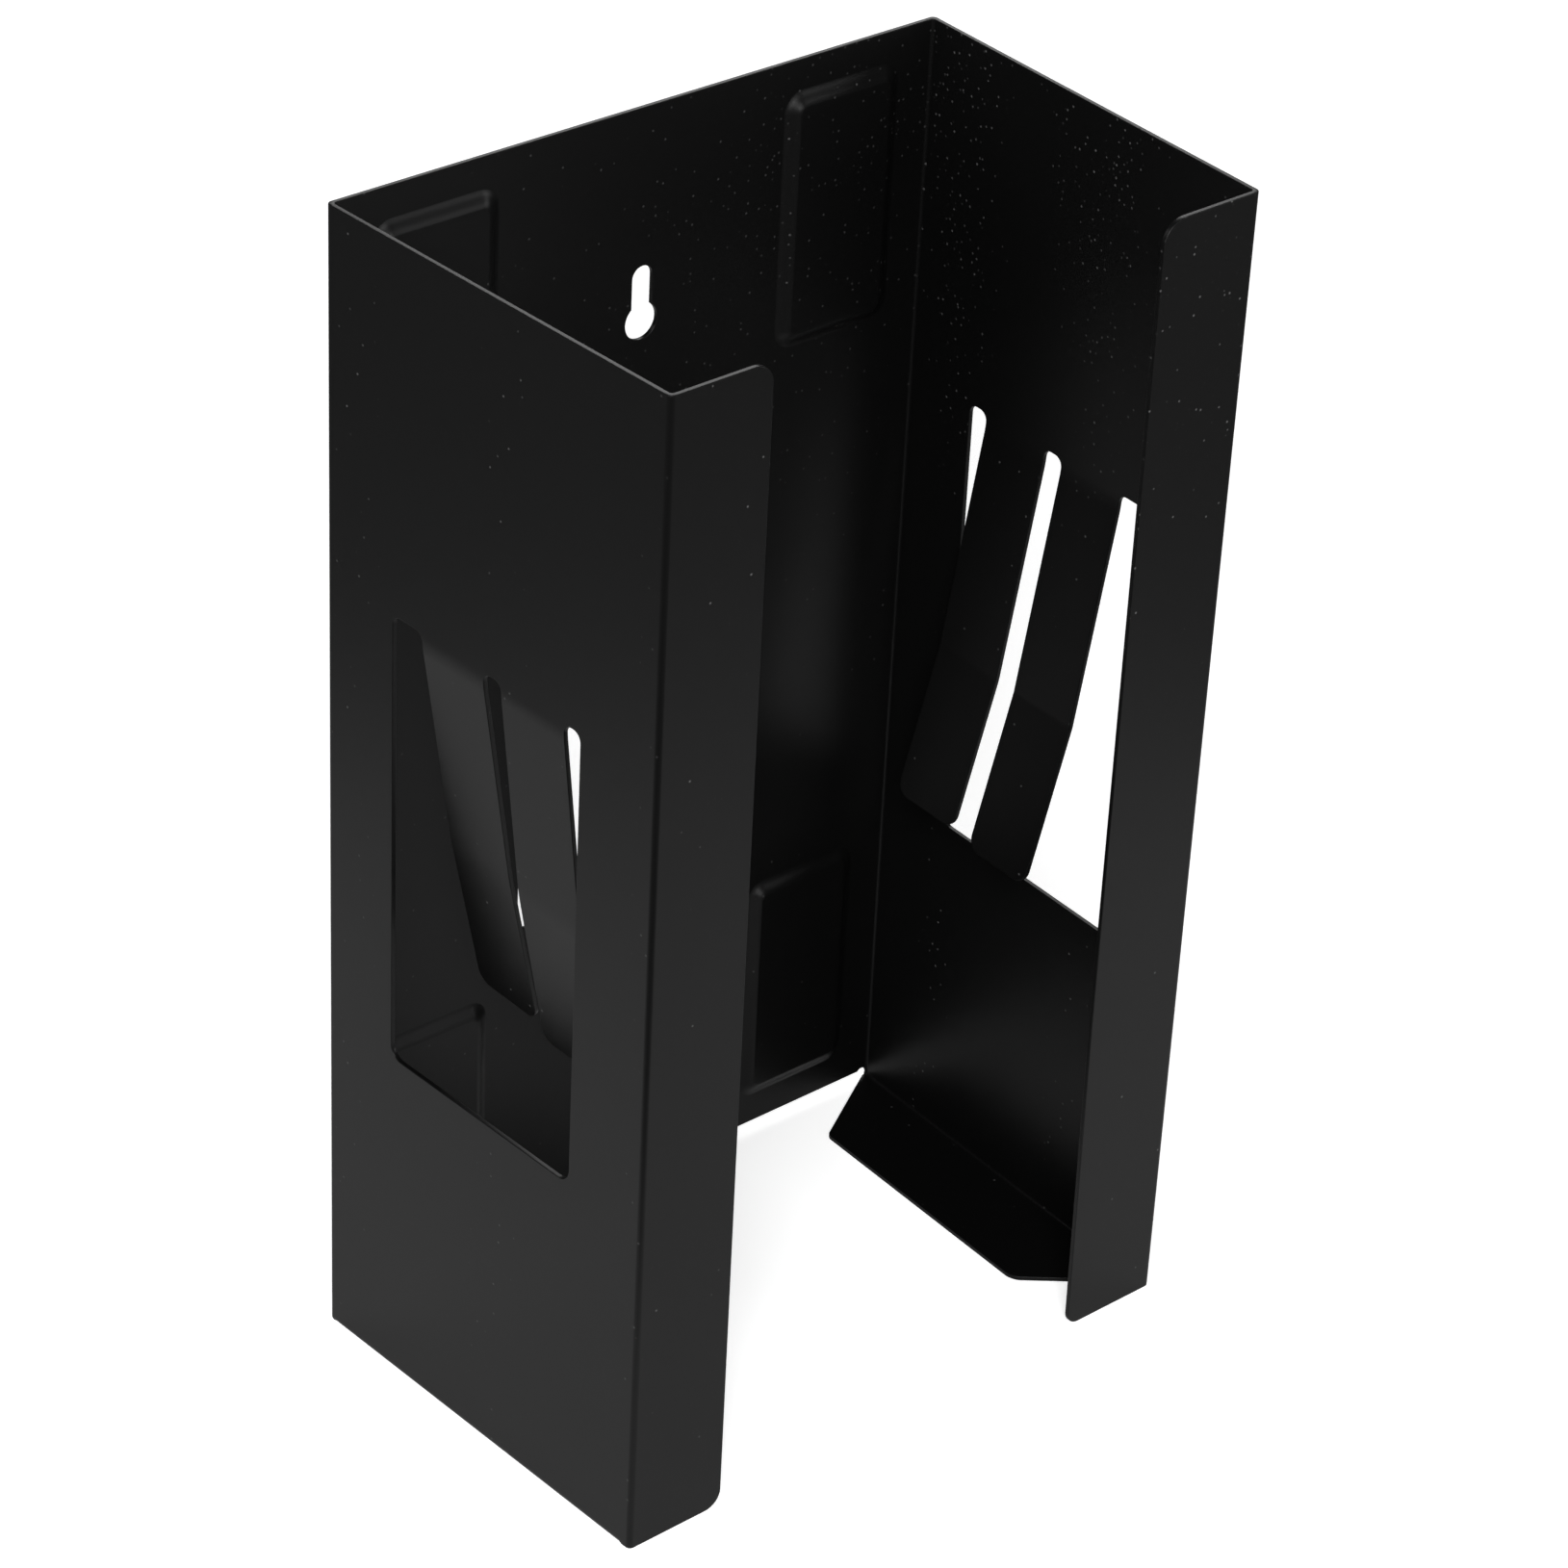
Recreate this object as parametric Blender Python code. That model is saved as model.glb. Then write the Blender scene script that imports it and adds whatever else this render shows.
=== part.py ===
# Magnetic wall box holder: one folded steel sheet and four flat magnets in its pressed pockets.
# Metres, +Z up. The wall side is +Y, the open side is -Y, and the holder stands on its two base lips.
import math

import bmesh
import bpy
from mathutils import Vector

# Driving sizes of the holder
HEIGHT = 0.250
BACK_WIDTH = 0.1445
SIDE_LENGTH = 0.093
FLANGE_WIDTH = 0.0229
LIP_WIDTH = 0.0219
SHEET = 0.001
BEND_INNER_RADIUS = 0.0008
TOE_IN = math.radians(2.0)

# Edges along the bottom
BACK_EDGE_HEIGHT = 0.0025
FLANGE_EDGE_HEIGHT = 0.00055
FLANGE_CORNER_RADIUS = 0.0042
RELIEF_RADIUS = 0.00145
RELIEF_INSET = 0.0013
RELIEF_RISE = 0.00055
RELIEF_END = math.radians(-15.0)
LIP_REAR_START = 0.0008
LIP_REAR_END = 0.0139
LIP_FRONT_START = 0.0748
LIP_FRONT_END = 0.0896
LIP_CHAMFER_RISE = 0.00075
LIP_CORNER_RADIUS = 0.0018
LIP_FRONT_CORNER_RADIUS = 0.004
LIP_BLEND = 0.001

# Side windows and the two spring tongues left standing in each
WINDOW_REAR = 0.0195
WINDOW_BOTTOM = 0.076
WINDOW_TOP = 0.1744
WINDOW_CORNER_RADIUS = 0.003
SLOT_CORNER_RADIUS = 0.002
NARROW_GAP = 0.005
TONGUE_WIDTH = 0.0175
TONGUE_SLOT = 0.005
WIDE_GAP = 0.0085
TONGUE_LENGTH = 0.0836
TONGUE_CORNER_RADIUS = 0.003
TONGUE_ROOT_DROP = 0.0015
TONGUE_ROOT_RADIUS = 0.012
TONGUE_KINK_RADIUS = 0.003

# How each tongue is set inward: the angle at its root, the run down to its kink and the angle there.
# From left to right on the blank: left front, left rear, right rear and right front.
TONGUE_BENDS = (
    (math.radians(6.4), 0.0439, math.radians(4.7)),
    (math.radians(8.8), 0.0449, math.radians(3.4)),
    (math.radians(9.3), 0.0470, math.radians(6.2)),
    (math.radians(9.3), 0.0470, math.radians(6.2)),
)

# Window in the back panel, and the keyhole above it
BACK_WINDOW_WIDTH = 0.053
BACK_WINDOW_BOTTOM = 0.077
BACK_WINDOW_TOP = 0.173
KEYHOLE_HEIGHT = 0.2056
KEYHOLE_DIAMETER = 0.0086
KEYHOLE_SLOT_WIDTH = 0.0058
KEYHOLE_SLOT_TOP = 0.2178

# Pressed pockets and the magnets behind them
POCKET_WIDTH = 0.029
POCKET_HEIGHT = 0.055
POCKET_SIDE_MARGIN = 0.00925
POCKET_TOP_MARGIN = 0.0063
POCKET_BOTTOM = 0.0095
POCKET_CORNER_RADIUS = 0.0045
POCKET_DEPTH = 0.0015
POCKET_SHOULDER = 0.0009
POCKET_SHOULDER_RISE = 0.0002
POCKET_SLOPE = 0.0014
MAGNET_SEAT_GAP = 0.0003
MAGNET_SIDE_GAP = 0.0006
MAGNET_CORNER_RADIUS = 0.0006

# Steps of the faceted curves
BEND_STEPS = 6
TONGUE_STEPS = 4
KINK_STEPS = 2
CORNER_STEPS = 5
RELIEF_STEPS = 9
HOLE_STEPS = 16

# Finest distances that count: points this near a line are on it, and corners this near are one
TOUCH = 1e-7
WELD = 1e-6

# Looks: linear colour, roughness and metallic
COAT = ((0.014, 0.014, 0.014), 0.42, 0.0)
FERRITE = ((0.035, 0.031, 0.029), 0.65, 0.0)
SMOOTH_ANGLE = math.radians(20.0)

# Values that follow from the driving sizes
BEND_OUTER_RADIUS = BEND_INNER_RADIUS + SHEET
BEND_MIDDLE_RADIUS = BEND_INNER_RADIUS + SHEET / 2
BACK_BEND = math.pi / 2 + TOE_IN
FRONT_BEND = math.pi / 2 - TOE_IN
BACK_SETBACK = BEND_OUTER_RADIUS * math.tan(BACK_BEND / 2)
FRONT_SETBACK = BEND_OUTER_RADIUS * math.tan(FRONT_BEND / 2)
OVERALL_DEPTH = SIDE_LENGTH * math.cos(TOE_IN)
WALL_PLANE = OVERALL_DEPTH / 2
POCKET_SLOPE_WIDTH = 2 * POCKET_SHOULDER + POCKET_SLOPE
TONGUE_END = WINDOW_TOP - TONGUE_LENGTH

# Distances along the flat blank from its middle: end of the back, side, its far end, flange, edge
FLAT_BACK = BACK_WIDTH / 2 - BACK_SETBACK
FLAT_SIDE = FLAT_BACK + BEND_MIDDLE_RADIUS * BACK_BEND
FLAT_SIDE_END = FLAT_SIDE + SIDE_LENGTH - BACK_SETBACK - FRONT_SETBACK
FLAT_FLANGE = FLAT_SIDE_END + BEND_MIDDLE_RADIUS * FRONT_BEND
FLAT_EDGE = FLAT_FLANGE + FLANGE_WIDTH - FRONT_SETBACK

# Heights on the flat blank: start and end of the lip's bend, and the lip's free edge
LIP_BEND_START = BEND_OUTER_RADIUS
LIP_BEND_END = LIP_BEND_START - BEND_MIDDLE_RADIUS * math.pi / 2
LIP_EDGE = LIP_BEND_END - (LIP_WIDTH - BEND_OUTER_RADIUS)

# The bends that a strip of the sheet goes through, as straight runs and (radius, angle) turns
PLAN_PATH = [
    ("run", FLAT_BACK),
    ("turn", BEND_MIDDLE_RADIUS, BACK_BEND),
    ("run", SIDE_LENGTH - BACK_SETBACK - FRONT_SETBACK),
    ("turn", BEND_MIDDLE_RADIUS, FRONT_BEND),
    ("run", FLANGE_WIDTH - FRONT_SETBACK),
]
LIP_PATH = [
    ("turn", BEND_MIDDLE_RADIUS, math.pi / 2),
    ("run", LIP_WIDTH - BEND_OUTER_RADIUS),
]


def tongue_path(number):
    root_angle, upper_run, kink_angle = TONGUE_BENDS[number]
    return [
        ("run", TONGUE_ROOT_DROP),
        ("turn", TONGUE_ROOT_RADIUS, root_angle),
        ("run", upper_run),
        ("turn", TONGUE_KINK_RADIUS, kink_angle),
        ("run", TONGUE_LENGTH),
    ]


# Where a point of the sheet lands after the bends: along the strip, and up through its thickness.
# The strip starts at the origin and heads along the first axis; its inner face is on the second.
def follow(path, distance, depth):
    place = Vector((0.0, 0.0))
    heading = 0.0
    left = distance
    for number, step in enumerate(path):
        last = number == len(path) - 1
        if step[0] == "run":
            length = left if last else min(left, step[1])
            place += Vector((math.cos(heading), math.sin(heading))) * length
        else:
            length = min(left, step[1] * step[2])
            turned = length / step[1]
            centre = place + Vector((-math.sin(heading), math.cos(heading))) * (step[1] + SHEET / 2)
            heading += turned
            place = centre - Vector((-math.sin(heading), math.cos(heading))) * (step[1] + SHEET / 2)
        left -= length
        if left <= 0:
            break
    return place + Vector((-math.sin(heading), math.cos(heading))) * depth


# A place on the side panel's own flat frame, also for metal that stands inward of the panel
def on_side(distance, depth):
    start = follow(PLAN_PATH, FLAT_SIDE, 0.0)
    heading = BACK_BEND
    along = Vector((math.cos(heading), math.sin(heading))) * (distance - FLAT_SIDE)
    return start + along + Vector((-math.sin(heading), math.cos(heading))) * depth


# The four tongues as spans along the blank, from its left end
def tongue_spans():
    spans = []
    for start in window_starts():
        first = start + NARROW_GAP
        second = first + TONGUE_WIDTH + TONGUE_SLOT
        spans += [(first, first + TONGUE_WIDTH), (second, second + TONGUE_WIDTH)]
    return spans


def window_length():
    return NARROW_GAP + TONGUE_WIDTH + TONGUE_SLOT + TONGUE_WIDTH + WIDE_GAP


# Both windows are cut with one tool, so the pattern is shifted along the blank and not mirrored
def window_starts():
    rear = FLAT_SIDE + WINDOW_REAR - BACK_SETBACK
    return [-rear - window_length(), rear]


# The number of the tongue that a place on the blank belongs to, or None off the tongues
def tongue_number(across, height):
    reach = TONGUE_SLOT / 3
    low = (WINDOW_BOTTOM + TONGUE_END) / 2
    if low < height < WINDOW_TOP - TONGUE_ROOT_DROP + TOUCH:
        for number, (first, last) in enumerate(tongue_spans()):
            if first - reach < across < last + reach:
                return number
    return None


def folded(across, height, depth):
    side = -1.0 if across < 0 else 1.0
    distance = abs(across)
    front = FLAT_SIDE + LIP_FRONT_END - BACK_SETBACK
    number = tongue_number(across, height)
    if number is not None:
        drop, inward = follow(tongue_path(number), WINDOW_TOP - height, depth)
        plan = on_side(distance, inward)
        return Vector((side * plan.x, WALL_PLANE - plan.y, WINDOW_TOP - drop))
    plan = follow(PLAN_PATH, distance, depth)
    level = height
    if height < LIP_BEND_START - TOUCH and FLAT_BACK < distance < front + LIP_BLEND - TOUCH:
        drop, inward = follow(LIP_PATH, LIP_BEND_START - height, depth)
        bent = on_side(distance, inward)
        share = min(1.0, max(0.0, (front + LIP_BLEND - distance) / LIP_BLEND))
        if distance < FLAT_SIDE:
            share = min(1.0, (LIP_BEND_START - height) / (LIP_BEND_START - LIP_BEND_END))
        plan = plan.lerp(bent, share)
        level = height + (LIP_BEND_START - drop - height) * share
    # At the rear corner, where two bends meet, the metal stays off the wall and the bench
    return Vector((side * plan.x, WALL_PLANE - max(plan.y, 0.0), max(level, 0.0)))


# Outlines: a closed run of corners, each with its own rounding
def rounded(corners):
    points = []
    count = len(corners)
    for number, (x, y, radius) in enumerate(corners):
        here = Vector((x, y))
        if radius <= 0:
            points.append(here)
            continue
        before = (Vector(corners[number - 1][:2]) - here).normalized()
        after = (Vector(corners[(number + 1) % count][:2]) - here).normalized()
        half = before.angle(after) / 2
        centre = here + (before + after).normalized() * (radius / math.sin(half))
        start = here + before * (radius / math.tan(half)) - centre
        turn = start.angle_signed(here + after * (radius / math.tan(half)) - centre)
        for step in range(CORNER_STEPS + 1):
            angle = -turn * step / CORNER_STEPS
            cos, sin = math.cos(angle), math.sin(angle)
            points.append(centre + Vector((start.x * cos - start.y * sin, start.x * sin + start.y * cos)))
    return points


def arc(centre, radius, begin, end, steps):
    points = []
    for step in range(steps + 1):
        angle = begin + (end - begin) * step / steps
        points.append(Vector((centre[0] + radius * math.cos(angle), centre[1] + radius * math.sin(angle))))
    return points


def half_outline():
    along = FLAT_SIDE - BACK_SETBACK
    relief = (FLAT_BACK - RELIEF_INSET, BACK_EDGE_HEIGHT + RELIEF_RISE - RELIEF_RADIUS)
    bite = math.asin((BACK_EDGE_HEIGHT - relief[1]) / RELIEF_RADIUS)
    points = arc(relief, RELIEF_RADIUS, math.pi - bite, RELIEF_END, RELIEF_STEPS)
    points.append(Vector((along + LIP_REAR_START, LIP_BEND_END)))
    lip = rounded([
        (along + LIP_REAR_START, LIP_BEND_END, 0),
        (along + LIP_REAR_END, LIP_EDGE, LIP_CORNER_RADIUS),
        (along + LIP_FRONT_START, LIP_EDGE, LIP_FRONT_CORNER_RADIUS),
        (along + LIP_FRONT_END, LIP_BEND_END - LIP_CHAMFER_RISE, 0),
    ])
    points += lip[1:]
    points.append(Vector((along + LIP_FRONT_END, FLANGE_EDGE_HEIGHT)))
    flange = rounded([
        (along + LIP_FRONT_END, FLANGE_EDGE_HEIGHT, 0),
        (FLAT_EDGE, FLANGE_EDGE_HEIGHT, FLANGE_CORNER_RADIUS),
        (FLAT_EDGE, HEIGHT, FLANGE_CORNER_RADIUS),
        (0.0, HEIGHT, 0),
    ])
    return points + flange[1:-1]


def blank_outline():
    right = half_outline()
    left = [Vector((-point.x, point.y)) for point in reversed(right)]
    return right + left


def window_outline(start):
    marks = [start]
    for width in (NARROW_GAP, TONGUE_WIDTH, TONGUE_SLOT, TONGUE_WIDTH, WIDE_GAP):
        marks.append(marks[-1] + width)
    corners = [(marks[0], WINDOW_BOTTOM, WINDOW_CORNER_RADIUS), (marks[0], WINDOW_TOP, SLOT_CORNER_RADIUS)]
    for first, second in ((marks[1], marks[2]), (marks[3], marks[4])):
        corners += [
            (first, WINDOW_TOP, SLOT_CORNER_RADIUS),
            (first, TONGUE_END, TONGUE_CORNER_RADIUS),
            (second, TONGUE_END, TONGUE_CORNER_RADIUS),
            (second, WINDOW_TOP, SLOT_CORNER_RADIUS),
        ]
    corners += [(marks[5], WINDOW_TOP, SLOT_CORNER_RADIUS), (marks[5], WINDOW_BOTTOM, WINDOW_CORNER_RADIUS)]
    return rounded(corners)


def back_window_outline():
    half = BACK_WINDOW_WIDTH / 2
    return rounded([
        (-half, BACK_WINDOW_BOTTOM, WINDOW_CORNER_RADIUS),
        (-half, BACK_WINDOW_TOP, WINDOW_CORNER_RADIUS),
        (half, BACK_WINDOW_TOP, WINDOW_CORNER_RADIUS),
        (half, BACK_WINDOW_BOTTOM, WINDOW_CORNER_RADIUS),
    ])


def keyhole_outline():
    radius = KEYHOLE_DIAMETER / 2
    half = KEYHOLE_SLOT_WIDTH / 2
    meet = math.asin(half / radius)
    round_part = arc((0, KEYHOLE_HEIGHT), radius, math.pi / 2 + meet, math.pi * 2.5 - meet, HOLE_STEPS)
    return round_part + arc((0, KEYHOLE_SLOT_TOP - half), half, 0, math.pi, HOLE_STEPS // 2)


def collection(name):
    made = bpy.data.collections.new(name)
    bpy.context.scene.collection.children.link(made)
    return made


def material(name, colour, roughness, metallic):
    made = bpy.data.materials.new(name)
    made.use_nodes = True
    shader = made.node_tree.nodes["Principled BSDF"]
    shader.inputs["Base Color"].default_value = (*colour, 1.0)
    shader.inputs["Roughness"].default_value = roughness
    shader.inputs["Metallic"].default_value = metallic
    made.diffuse_color = (*colour, 1.0)
    return made


# A flat plate from 2D outlines, the first one outside and the rest holes, welded into a mesh
def plate(name, outlines, thickness, group):
    curve = bpy.data.curves.new(name + "_outline", "CURVE")
    curve.dimensions = "2D"
    curve.fill_mode = "BOTH"
    curve.extrude = thickness / 2
    for outline in outlines:
        spline = curve.splines.new("POLY")
        spline.points.add(len(outline) - 1)
        for point, place in zip(spline.points, outline):
            point.co = (place.x, place.y, 0.0, 1.0)
        spline.use_cyclic_u = True
    holder = bpy.data.objects.new(name + "_outline", curve)
    group.objects.link(holder)
    bpy.context.view_layer.update()
    evaluated = holder.evaluated_get(bpy.context.evaluated_depsgraph_get())
    mesh = bpy.data.meshes.new_from_object(evaluated)
    mesh.name = name
    result = bpy.data.objects.new(name, mesh)
    result.matrix_world = holder.matrix_world
    bpy.data.objects.remove(holder)
    group.objects.link(result)
    work = bmesh.new()
    work.from_mesh(mesh)
    bmesh.ops.remove_doubles(work, verts=work.verts, dist=WELD)
    flat = {face for face in work.faces if len({round(vertex.co.z, 6) for vertex in face.verts}) == 1}
    inner = [edge for edge in work.edges if all(face in flat for face in edge.link_faces)]
    bmesh.ops.beautify_fill(work, faces=list(flat), edges=inner, method="ANGLE")
    bmesh.ops.translate(work, verts=work.verts, vec=(0, 0, thickness / 2))
    bmesh.ops.recalc_face_normals(work, faces=work.faces)
    work.to_mesh(mesh)
    work.free()
    return result


def pocket_corners(middle_x, middle_z, inset=0.0, radius=POCKET_CORNER_RADIUS):
    x = POCKET_WIDTH / 2 - inset
    z = POCKET_HEIGHT / 2 - inset
    return [(middle_x + a * x, middle_z + b * z, radius) for a, b in ((1, -1), (1, 1), (-1, 1), (-1, -1))]


def pocket_middles():
    upper = HEIGHT - POCKET_TOP_MARGIN - POCKET_HEIGHT / 2
    lower = POCKET_BOTTOM + POCKET_HEIGHT / 2
    offset = BACK_WIDTH / 2 - POCKET_SIDE_MARGIN - POCKET_WIDTH / 2
    return {
        "upper_left": (-offset, upper),
        "upper_right": (offset, upper),
        "lower_left": (-offset, lower),
        "lower_right": (offset, lower),
    }


# The form of the press tool: a plate whose top steps inward over two soft shoulders and a slope
def press_form(name, middle, base, group):
    sink = SHEET / 2
    form = plate(name, [rounded(pocket_corners(*middle))], sink, group)
    work = bmesh.new()
    work.from_mesh(form.data)
    top = [face for face in work.faces if face.normal.z > 0.5]
    rises = (
        (POCKET_SHOULDER, POCKET_SHOULDER_RISE),
        (POCKET_SLOPE, POCKET_DEPTH - 2 * POCKET_SHOULDER_RISE),
        (POCKET_SHOULDER, POCKET_SHOULDER_RISE),
    )
    for inset, rise in rises:
        bmesh.ops.inset_region(work, faces=top, thickness=inset, depth=0, use_even_offset=True)
        moved = {vertex for face in top for vertex in face.verts}
        bmesh.ops.translate(work, verts=list(moved), vec=(0, 0, rise))
    bmesh.ops.translate(work, verts=work.verts, vec=(0, 0, base - sink))
    bmesh.ops.recalc_face_normals(work, faces=work.faces)
    work.to_mesh(form.data)
    work.free()
    form.display_type = "WIRE"
    form.hide_render = True
    return form


def boolean(target, cutter, operation):
    step = target.modifiers.new(cutter.name, "BOOLEAN")
    step.operation = operation
    step.solver = "EXACT"
    step.object = cutter


def apply_modifiers(target):
    bpy.context.view_layer.update()
    evaluated = target.evaluated_get(bpy.context.evaluated_depsgraph_get())
    mesh = bpy.data.meshes.new_from_object(evaluated)
    target.modifiers.clear()
    old = target.data
    target.data = mesh
    bpy.data.meshes.remove(old)


# Cuts the blank's faces along a line where the sheet will bend
def score(work, place, normal, chosen):
    faces = [face for face in work.faces if chosen(face.calc_center_median())]
    edges = {edge for face in faces for edge in face.edges}
    verts = {vertex for face in faces for vertex in face.verts}
    bmesh.ops.bisect_plane(
        work, geom=faces + list(edges) + list(verts), dist=TOUCH, plane_co=place, plane_no=normal
    )


def score_bends(work):
    for begin, angle in ((FLAT_BACK, BACK_BEND), (FLAT_SIDE_END, FRONT_BEND)):
        for step in range(BEND_STEPS + 1):
            place = begin + BEND_MIDDLE_RADIUS * angle * step / BEND_STEPS
            for side in (1, -1):
                score(work, (side * place, 0, 0), (1, 0, 0), lambda centre: True)
    front = FLAT_SIDE + LIP_FRONT_END - BACK_SETBACK

    def on_panel(centre):
        return FLAT_BACK < abs(centre.x) < FLAT_SIDE_END

    def on_lip(centre):
        return on_panel(centre) and centre.y < LIP_BEND_START

    score(work, (0, LIP_BEND_START, 0), (0, 1, 0), on_panel)
    for side in (1, -1):
        for place in (front, front + LIP_BLEND):
            score(work, (side * place, 0, 0), (1, 0, 0), on_lip)
    for step in range(1, BEND_STEPS + 1):
        level = LIP_BEND_START + (LIP_BEND_END - LIP_BEND_START) * step / BEND_STEPS
        score(work, (0, level, 0), (0, 1, 0), on_lip)


def score_tongues(work):
    root = WINDOW_TOP - TONGUE_ROOT_DROP

    def on_panel(centre):
        return FLAT_SIDE < abs(centre.x) < FLAT_SIDE_END

    score(work, (0, root, 0), (0, 1, 0), on_panel)
    for number, (root_angle, upper_run, kink_angle) in enumerate(TONGUE_BENDS):
        root_arc = TONGUE_ROOT_RADIUS * root_angle
        kink = root - root_arc - upper_run
        kink_arc = TONGUE_KINK_RADIUS * kink_angle
        levels = [root - root_arc * step / TONGUE_STEPS for step in range(1, TONGUE_STEPS + 1)]
        levels += [kink - kink_arc * step / KINK_STEPS for step in range(KINK_STEPS + 1)]
        for level in levels:
            score(
                work, (0, level, 0), (0, 1, 0),
                lambda centre, wanted=number: tongue_number(centre.x, centre.y) == wanted,
            )


def fold(body):
    work = bmesh.new()
    work.from_mesh(body.data)
    score_bends(work)
    score_tongues(work)
    bmesh.ops.triangulate(work, faces=work.faces)
    for vertex in work.verts:
        vertex.co = folded(vertex.co.x, vertex.co.y, vertex.co.z)
    bmesh.ops.dissolve_degenerate(work, edges=work.edges, dist=WELD)
    bmesh.ops.recalc_face_normals(work, faces=work.faces)
    work.to_mesh(body.data)
    work.free()


def make_body(group, tools, coat):
    outlines = [blank_outline(), back_window_outline(), keyhole_outline()]
    outlines += [window_outline(start) for start in window_starts()]
    body = plate("holder_body", outlines, SHEET, group)
    for name, middle in pocket_middles().items():
        boolean(body, press_form("press_punch_" + name, middle, SHEET, tools), "UNION")
        boolean(body, press_form("press_hollow_" + name, middle, 0.0, tools), "DIFFERENCE")
    apply_modifiers(body)
    fold(body)
    body.data.materials.clear()
    body.data.materials.append(coat)
    body.data.shade_smooth()
    body.data.set_sharp_from_angle(angle=SMOOTH_ANGLE)
    return body


def make_magnet(name, middle, group, finish):
    inset = POCKET_SLOPE_WIDTH + MAGNET_SIDE_GAP
    outline = rounded(pocket_corners(*middle, inset, MAGNET_CORNER_RADIUS))
    magnet = plate("magnet_" + name, [outline], POCKET_DEPTH - MAGNET_SEAT_GAP, group)
    magnet.rotation_euler = (math.pi / 2, 0, 0)
    magnet.location = (0, WALL_PLANE, 0)
    magnet.data.materials.append(finish)
    return magnet


def build():
    for old in list(bpy.data.objects):
        bpy.data.objects.remove(old)
    group = collection("magnetic_wall_box_holder")
    tools = collection("press_tools")
    coat = material("black_powder_coated_steel", *COAT)
    finish = material("rubber_bonded_ferrite", *FERRITE)
    make_body(group, tools, coat)
    for name, middle in pocket_middles().items():
        make_magnet(name, middle, group, finish)


build()
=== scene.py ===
import math

import bmesh
import bpy
from mathutils import Matrix, Vector


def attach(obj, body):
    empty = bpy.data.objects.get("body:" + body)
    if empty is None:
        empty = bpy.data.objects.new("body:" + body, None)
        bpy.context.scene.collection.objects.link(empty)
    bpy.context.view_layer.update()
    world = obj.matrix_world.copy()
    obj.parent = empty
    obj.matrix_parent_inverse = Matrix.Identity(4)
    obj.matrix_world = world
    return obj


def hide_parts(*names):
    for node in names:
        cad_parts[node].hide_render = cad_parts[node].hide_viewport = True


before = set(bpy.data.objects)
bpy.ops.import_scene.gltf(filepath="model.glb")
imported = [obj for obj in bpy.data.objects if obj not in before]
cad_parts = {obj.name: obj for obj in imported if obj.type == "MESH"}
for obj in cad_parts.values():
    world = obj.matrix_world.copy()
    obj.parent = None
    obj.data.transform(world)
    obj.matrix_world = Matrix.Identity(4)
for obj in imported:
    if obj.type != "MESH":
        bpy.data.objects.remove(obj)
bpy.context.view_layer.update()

mm = 0.001
tiny = 1e-4  # mm
farOut = 100.0  # mm, longer than any last run of a folded strip
sharpAngle = 38.0  # degrees, edges that turn more than this stay sharp in the shading
print("Frame loaded")


def hexColour(text):  # sRGB hex to the linear values that shaders read
    parts = [int(text[start:start + 2], 16) / 255 for start in (1, 3, 5)]
    linear = [part / 12.92 if part <= 0.04045 else ((part + 0.055) / 1.055) ** 2.4 for part in parts]
    return (*linear, 1.0)


def addNode(tree, kind, settings=None, links=None):  # a name or a number of a socket, else a property
    node = tree.nodes.new(kind)
    for name, value in (settings or {}).items():
        if isinstance(name, int) or name in node.inputs:
            node.inputs[name].default_value = value
        else:
            setattr(node, name, value)
    for name, socket in (links or {}).items():
        tree.links.new(socket, node.inputs[name])
    return node


def mathOf(tree, operation, *values):  # each value is a number or another node's output
    node = addNode(tree, "ShaderNodeMath", {"operation": operation})
    for place, value in enumerate(values):
        if isinstance(value, (int, float)):
            node.inputs[place].default_value = value
        else:
            tree.links.new(value, node.inputs[place])
    return node.outputs[0]


def mapped(tree, value, start, full):  # 0 at the first limit and 1 at the second, and no more or less
    settings = {"From Min": start, "From Max": full}
    return addNode(tree, "ShaderNodeMapRange", settings, {"Value": value}).outputs[0]


def mixColours(tree, share, first, second):
    settings = {"data_type": "RGBA", 6: hexColour(first), 7: hexColour(second)}
    return addNode(tree, "ShaderNodeMix", settings, {0: share}).outputs[2]


def addNoise(tree, place, size, detail):  # size in mm
    settings = {"Scale": 1 / (size * mm), "Detail": detail}
    return addNode(tree, "ShaderNodeTexNoise", settings, {"Vector": place}).outputs[0]


def addBump(tree, shader, value, height):  # height in mm
    bump = addNode(tree, "ShaderNodeBump", {"Strength": 1.0, "Distance": height * mm}, {"Height": value})
    tree.links.new(bump.outputs["Normal"], shader.inputs["Normal"])


def newMaterial(name):
    finish = bpy.data.materials.new(name)
    finish.use_nodes = True
    finish.node_tree.nodes.clear()
    return finish


def newCoating(name, settings):  # one Principled shader, and the place on the object for its patterns
    finish = newMaterial(name)
    tree = finish.node_tree
    output = addNode(tree, "ShaderNodeOutputMaterial")
    shader = addNode(tree, "ShaderNodeBsdfPrincipled", settings)
    tree.links.new(shader.outputs["BSDF"], output.inputs["Surface"])
    return finish, shader, addNode(tree, "ShaderNodeTexCoord").outputs["Object"]


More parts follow.
